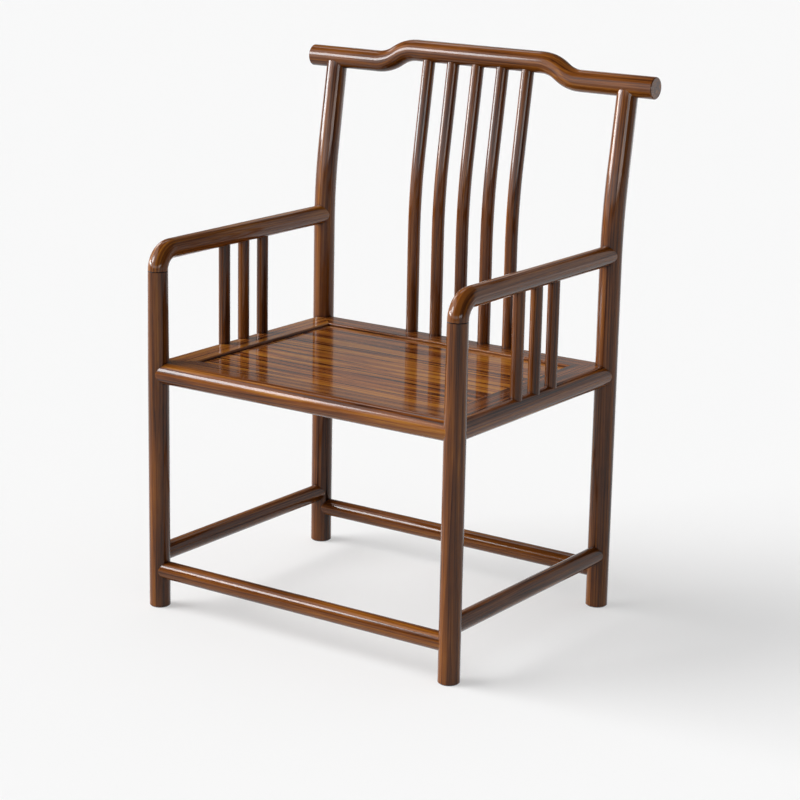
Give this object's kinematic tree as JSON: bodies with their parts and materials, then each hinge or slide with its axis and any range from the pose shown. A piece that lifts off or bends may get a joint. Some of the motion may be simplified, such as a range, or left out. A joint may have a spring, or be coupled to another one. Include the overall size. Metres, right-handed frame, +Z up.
{
  "type": "comb-back armchair",
  "caption": "Round-membered wooden armchair with a raised-centre overhanging crest rail, a comb back of bent spindles, bent-down arms and a framed floating-panel seat.",
  "frame": {"origin": "on the floor, below the middle of the chair's bounding box", "axes": "+Z up, +Y to the back of the chair, +X to the right as the chair is seen from the front"},
  "size_m": [0.733, 0.564, 0.9852],
  "materials": {
    "round_wood": "dark reddish-brown streaked hardwood, semi-gloss lacquer",
    "rail_wood": "reddish-brown streaked hardwood, semi-gloss lacquer",
    "panel_wood": "golden-brown figured board, semi-gloss lacquer",
    "batten_wood": "brown hardwood, planed and oiled"
  },
  "bodies": {
    "root": {"front_leg_left": "round_wood", "front_leg_right": "round_wood", "rear_leg_left": "round_wood", "rear_leg_right": "round_wood", "crest_rail": "round_wood", "back_spindle_1": "round_wood", "back_spindle_2": "round_wood", "back_spindle_3": "round_wood", "back_spindle_4": "round_wood", "back_spindle_5": "round_wood", "arm_left": "round_wood", "arm_right": "round_wood", "arm_spindle_left_1": "round_wood", "arm_spindle_left_2": "round_wood", "arm_spindle_left_3": "round_wood", "arm_spindle_right_1": "round_wood", "arm_spindle_right_2": "round_wood", "arm_spindle_right_3": "round_wood", "stretcher_front": "round_wood", "stretcher_rear": "round_wood", "stretcher_left": "round_wood", "stretcher_right": "round_wood", "seat_rail_front": "rail_wood", "seat_rail_rear": "rail_wood", "seat_rail_left": "rail_wood", "seat_rail_right": "rail_wood", "seat_panel": "panel_wood", "seat_batten_left": "batten_wood", "seat_batten_right": "batten_wood"}
  },
  "joints": []
}
